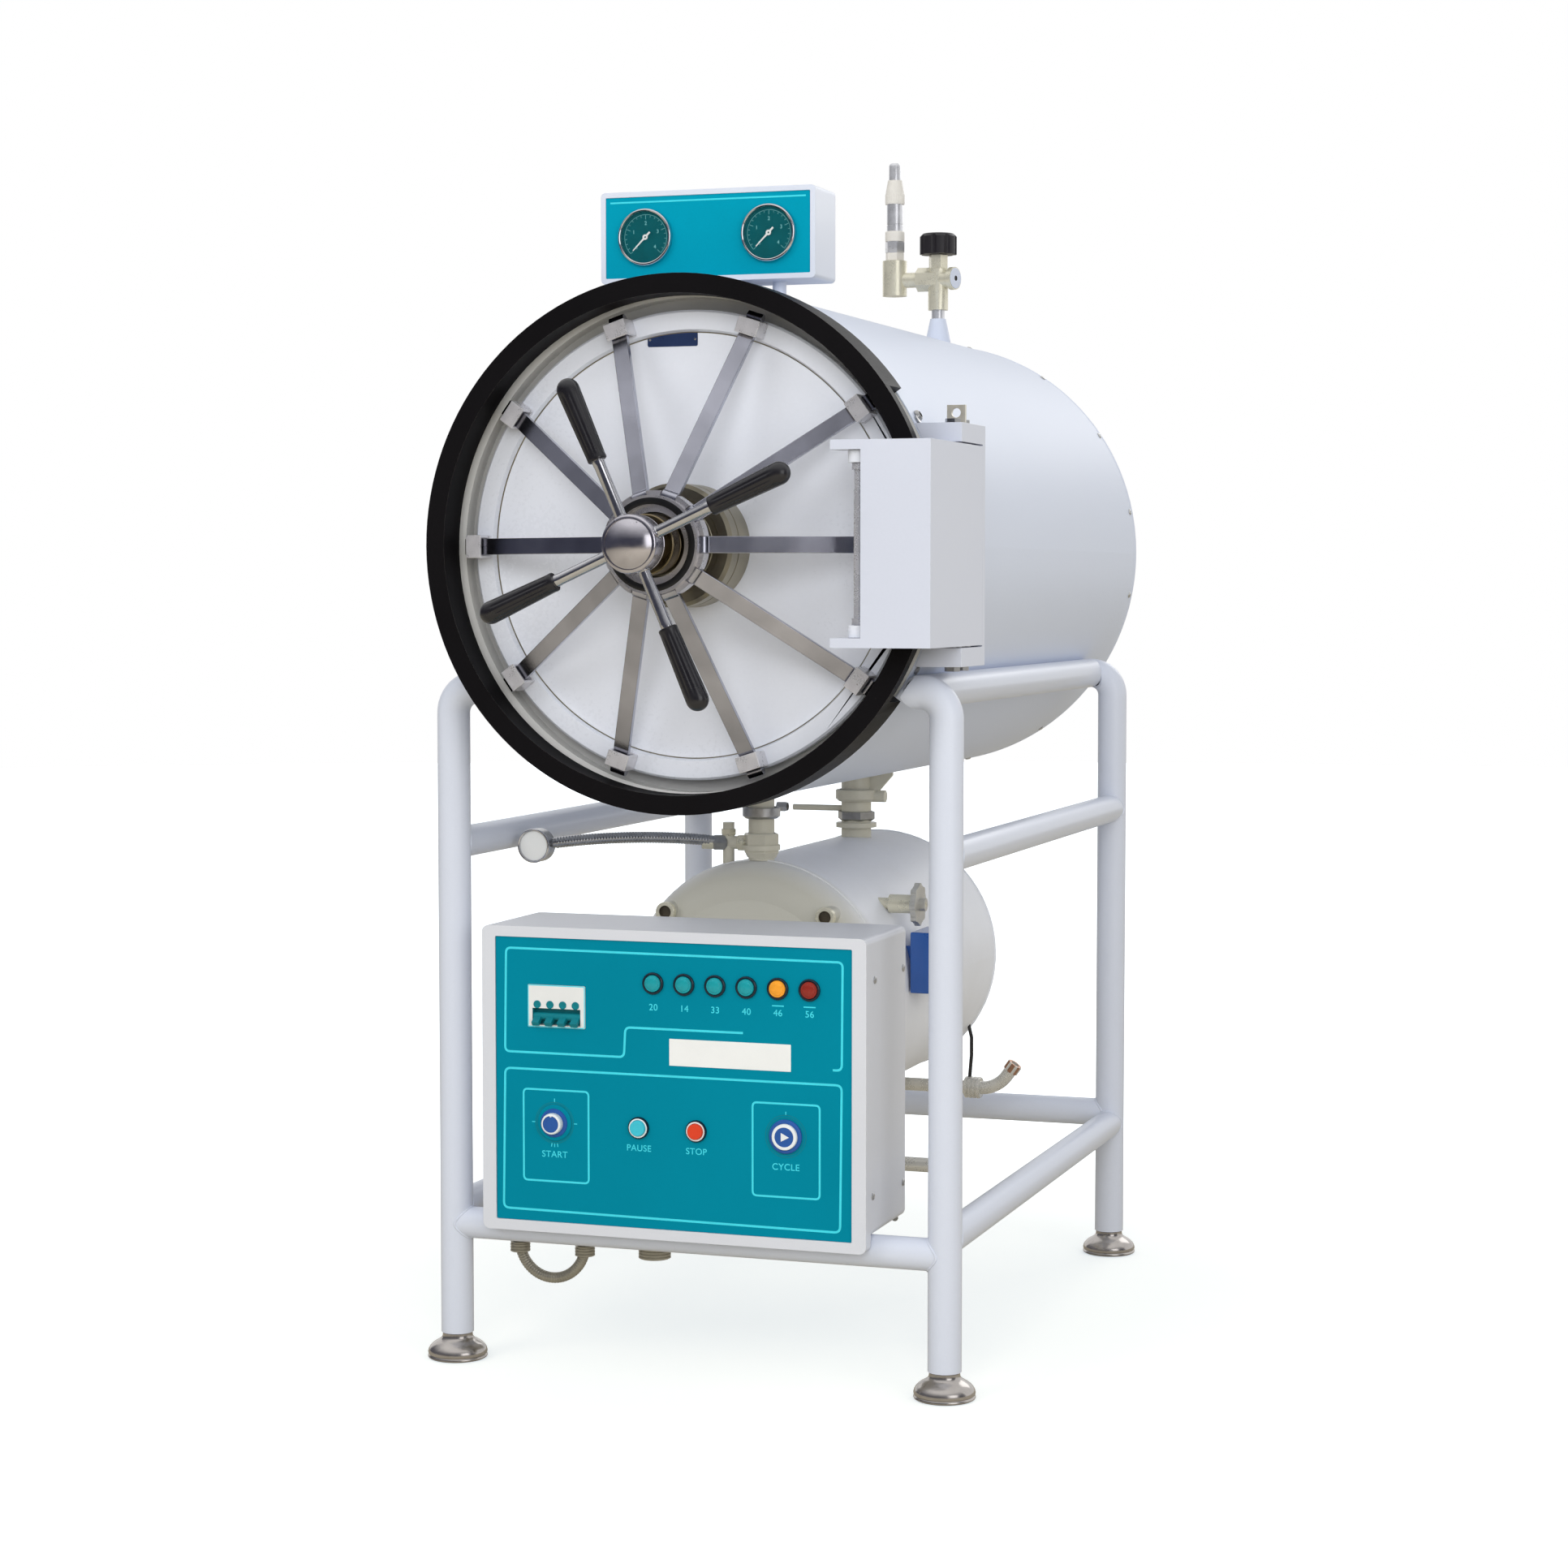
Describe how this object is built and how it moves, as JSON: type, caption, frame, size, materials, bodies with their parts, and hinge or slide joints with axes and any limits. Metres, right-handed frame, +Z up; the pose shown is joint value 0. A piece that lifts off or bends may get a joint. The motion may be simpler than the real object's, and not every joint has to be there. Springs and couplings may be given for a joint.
{
  "type": "horizontal autoclave",
  "caption": "Horizontal cylindrical autoclave on a tubular stand, with a radial-bar door and handwheel, pressure gauges, a control box and an electric steam generator underneath.",
  "frame": {"origin": "on the floor, at the middle of the four legs, which is also the middle of the outside box", "axes": "+X to the right as seen from the front, +Y to the back along the vessel, +Z up"},
  "size_m": [0.76, 1.412, 1.71],
  "materials": {
    "white_enamel": "smooth gloss white stove enamel",
    "grey_enamel": "smooth light grey enamel",
    "black_enamel": "gloss black enamel on machined steel",
    "blue_enamel": "blue enamel on a cast case",
    "door_steel": "satin stainless plate, machined rim",
    "polished_steel": "polished stainless steel",
    "bar_steel": "ground dark steel",
    "boss_iron": "machined casting, dark",
    "chamber_steel": "ground stainless plate with mill-finished jacket",
    "tank_steel": "ground stainless shell with satin heads",
    "perforated_steel": "pierced stainless sheet",
    "foot_steel": "polished steel",
    "valve_brass": "pale nickel-washed brass",
    "pipe_steel": "satin steel pipe",
    "red_silicone": "matt moulded silicone",
    "glass_wool": "packed glass wool",
    "black_plastic": "moulded black phenolic",
    "teal_panel": "screen-printed teal panel",
    "gauge_teal": "screen-printed light teal panel",
    "gauge_white": "white dial in a bright metal case",
    "needle_white": "painted needle",
    "clear_glass": "clear flat lens",
    "white_plastic": "moulded white plastic",
    "teal_plastic": "moulded teal plastic",
    "lamp_plastic": "coloured domed lens in a bright bezel",
    "cyan_plastic": "moulded cyan cap",
    "red_plastic": "moulded orange-red cap",
    "blue_plastic": "moulded blue cap",
    "heater_copper": "copper-sheathed heating rods"
  },
  "bodies": {
    "autoclave": {"stand_legs": "white_enamel", "stand_rails": "white_enamel", "casing": "white_enamel", "insulation": "glass_wool", "chamber": "chamber_steel", "lock_ring": "black_enamel", "door_gasket": "red_silicone", "loading_tray": "perforated_steel", "hinge_bracket": "white_enamel", "hinge_post": "white_enamel", "hinge_rod": "polished_steel", "hinge_fasteners": "polished_steel", "gauge_box": "white_enamel", "gauge_panel": "gauge_teal", "gauge_cases": "gauge_white", "gauge_lenses": "clear_glass", "vent_valve": "valve_brass", "safety_valve": "polished_steel", "control_box": "grey_enamel", "control_panel": "teal_panel", "breaker": "white_plastic", "lamps": "lamp_plastic", "button_bezels": "polished_steel", "steam_generator": "tank_steel", "heaters": "heater_copper", "steam_columns": "valve_brass", "pressure_controller": "blue_enamel", "level_valve": "valve_brass", "boiler_gauge": "pipe_steel", "water_pipes": "pipe_steel", "conduit": "pipe_steel"},
    "foot_front_left": {"foot_front_left": "foot_steel"},
    "foot_front_right": {"foot_front_right": "foot_steel"},
    "foot_rear_left": {"foot_rear_left": "foot_steel"},
    "foot_rear_right": {"foot_rear_right": "foot_steel"},
    "door": {"door_plate": "door_steel", "guide_blocks": "polished_steel", "door_boss": "boss_iron"},
    "handwheel": {"handwheel": "polished_steel", "handwheel_grips": "black_plastic"},
    "lock_sleeve": {"lock_sleeve": "polished_steel"},
    "needle_left": {"needle_left": "needle_white"},
    "needle_right": {"needle_right": "needle_white"},
    "vent_knob": {"vent_knob": "black_plastic"},
    "level_wheel": {"level_wheel": "pipe_steel"},
    "breaker_toggle": {"breaker_toggle": "teal_plastic"},
    "start_knob": {"start_knob": "blue_plastic"},
    "pause_button": {"pause_button": "cyan_plastic"},
    "stop_button": {"stop_button": "red_plastic"},
    "cycle_button": {"cycle_button": "blue_plastic"},
    "lock_bar_01": {"lock_bar_01": "bar_steel"},
    "lock_bar_02": {"lock_bar_02": "bar_steel"},
    "lock_bar_03": {"lock_bar_03": "bar_steel"},
    "lock_bar_04": {"lock_bar_04": "bar_steel"},
    "lock_bar_05": {"lock_bar_05": "bar_steel"},
    "lock_bar_06": {"lock_bar_06": "bar_steel"},
    "lock_bar_07": {"lock_bar_07": "bar_steel"},
    "lock_bar_08": {"lock_bar_08": "bar_steel"},
    "lock_bar_09": {"lock_bar_09": "bar_steel"},
    "lock_bar_10": {"lock_bar_10": "bar_steel"}
  },
  "joints": [
    {"name": "foot_front_left_turn", "type": "hinge", "parent": "autoclave", "child": "foot_front_left", "pos_m": [-0.34, -0.467, 0], "axis": [0, 0, 1], "continuous": true},
    {"name": "foot_front_right_turn", "type": "hinge", "parent": "autoclave", "child": "foot_front_right", "pos_m": [0.34, -0.467, 0], "axis": [0, 0, 1], "continuous": true},
    {"name": "foot_rear_left_turn", "type": "hinge", "parent": "autoclave", "child": "foot_rear_left", "pos_m": [-0.34, 0.467, 0], "axis": [0, 0, 1], "continuous": true},
    {"name": "foot_rear_right_turn", "type": "hinge", "parent": "autoclave", "child": "foot_rear_right", "pos_m": [0.34, 0.467, 0], "axis": [0, 0, 1], "continuous": true},
    {"name": "door_swing", "type": "hinge", "parent": "autoclave", "child": "door", "pos_m": [0.262, -0.59, 1.086], "axis": [0, 0, 1], "range_deg": [0, 90]},
    {"name": "handwheel_turn", "type": "hinge", "parent": "door", "child": "handwheel", "pos_m": [0, -0.6, 1.086], "axis": [0, 1, 0], "range_deg": [0, 480]},
    {"name": "sleeve_slide", "type": "slide", "parent": "door", "child": "lock_sleeve", "axis": [0, 1, 0], "range_m": [0, 0.03875]},
    {"name": "lock_bar_01_tilt", "type": "hinge", "parent": "lock_sleeve", "child": "lock_bar_01", "pos_m": [0.062, -0.6, 1.086], "axis": [0, 0, -1], "range_deg": [0, 8.93]},
    {"name": "lock_bar_02_tilt", "type": "hinge", "parent": "lock_sleeve", "child": "lock_bar_02", "pos_m": [0.05016, -0.6, 1.12244], "axis": [0.5878, 0, -0.809], "range_deg": [0, 8.93]},
    {"name": "lock_bar_03_tilt", "type": "hinge", "parent": "lock_sleeve", "child": "lock_bar_03", "pos_m": [0.01916, -0.6, 1.14497], "axis": [0.9511, 0, -0.309], "range_deg": [0, 8.93]},
    {"name": "lock_bar_04_tilt", "type": "hinge", "parent": "lock_sleeve", "child": "lock_bar_04", "pos_m": [-0.01916, -0.6, 1.14497], "axis": [0.9511, 0, 0.309], "range_deg": [0, 8.93]},
    {"name": "lock_bar_05_tilt", "type": "hinge", "parent": "lock_sleeve", "child": "lock_bar_05", "pos_m": [-0.05016, -0.6, 1.12244], "axis": [0.5878, 0, 0.809], "range_deg": [0, 8.93]},
    {"name": "lock_bar_06_tilt", "type": "hinge", "parent": "lock_sleeve", "child": "lock_bar_06", "pos_m": [-0.062, -0.6, 1.086], "axis": [0, 0, 1], "range_deg": [0, 8.93]},
    {"name": "lock_bar_07_tilt", "type": "hinge", "parent": "lock_sleeve", "child": "lock_bar_07", "pos_m": [-0.05016, -0.6, 1.04956], "axis": [-0.5878, 0, 0.809], "range_deg": [0, 8.93]},
    {"name": "lock_bar_08_tilt", "type": "hinge", "parent": "lock_sleeve", "child": "lock_bar_08", "pos_m": [-0.01916, -0.6, 1.02703], "axis": [-0.9511, 0, 0.309], "range_deg": [0, 8.93]},
    {"name": "lock_bar_09_tilt", "type": "hinge", "parent": "lock_sleeve", "child": "lock_bar_09", "pos_m": [0.01916, -0.6, 1.02703], "axis": [-0.9511, 0, -0.309], "range_deg": [0, 8.93]},
    {"name": "lock_bar_10_tilt", "type": "hinge", "parent": "lock_sleeve", "child": "lock_bar_10", "pos_m": [0.05016, -0.6, 1.04956], "axis": [-0.5878, 0, -0.809], "range_deg": [0, 8.93]},
    {"name": "needle_left_turn", "type": "hinge", "parent": "autoclave", "child": "needle_left", "pos_m": [-0.0745, -0.4405, 1.486], "axis": [0, 1, 0], "range_deg": [0, 270], "stiffness_Nm_per_rad": 0.002},
    {"name": "needle_right_turn", "type": "hinge", "parent": "autoclave", "child": "needle_right", "pos_m": [0.0945, -0.4405, 1.486], "axis": [0, 1, 0], "range_deg": [0, 270], "stiffness_Nm_per_rad": 0.002},
    {"name": "vent_knob_turn", "type": "hinge", "parent": "autoclave", "child": "vent_knob", "pos_m": [0.021, 0.6, 1.563], "axis": [0, 0, 1], "range_deg": [0, 720]},
    {"name": "level_wheel_turn", "type": "hinge", "parent": "autoclave", "child": "level_wheel", "pos_m": [0.188, -0.09, 0.592], "axis": [1, 0, 0], "range_deg": [-720, 0]},
    {"name": "breaker_throw", "type": "hinge", "parent": "autoclave", "child": "breaker_toggle", "pos_m": [-0.1765, -0.503, 0.472], "axis": [1, 0, 0], "range_deg": [-70, 0]},
    {"name": "start_turn", "type": "hinge", "parent": "autoclave", "child": "start_knob", "pos_m": [-0.18, -0.508, 0.3325], "axis": [0, 1, 0], "range_deg": [0, 90]},
    {"name": "pause_press", "type": "slide", "parent": "autoclave", "child": "pause_button", "axis": [0, 1, 0], "range_m": [0, 0.0035], "stiffness_N_per_m": 400},
    {"name": "stop_press", "type": "slide", "parent": "autoclave", "child": "stop_button", "axis": [0, 1, 0], "range_m": [0, 0.0035], "stiffness_N_per_m": 400},
    {"name": "cycle_press", "type": "slide", "parent": "autoclave", "child": "cycle_button", "axis": [0, 1, 0], "range_m": [0, 0.0035], "stiffness_N_per_m": 400}
  ],
  "couplings": [
    {"joint": "sleeve_slide", "follows": "handwheel_turn", "m_per_rad": 0.0046238},
    {"joint": "lock_bar_01_tilt", "follows": "handwheel_turn", "ratio": 0.018607},
    {"joint": "lock_bar_02_tilt", "follows": "handwheel_turn", "ratio": 0.018607},
    {"joint": "lock_bar_03_tilt", "follows": "handwheel_turn", "ratio": 0.018607},
    {"joint": "lock_bar_04_tilt", "follows": "handwheel_turn", "ratio": 0.018607},
    {"joint": "lock_bar_05_tilt", "follows": "handwheel_turn", "ratio": 0.018607},
    {"joint": "lock_bar_06_tilt", "follows": "handwheel_turn", "ratio": 0.018607},
    {"joint": "lock_bar_07_tilt", "follows": "handwheel_turn", "ratio": 0.018607},
    {"joint": "lock_bar_08_tilt", "follows": "handwheel_turn", "ratio": 0.018607},
    {"joint": "lock_bar_09_tilt", "follows": "handwheel_turn", "ratio": 0.018607},
    {"joint": "lock_bar_10_tilt", "follows": "handwheel_turn", "ratio": 0.018607}
  ]
}
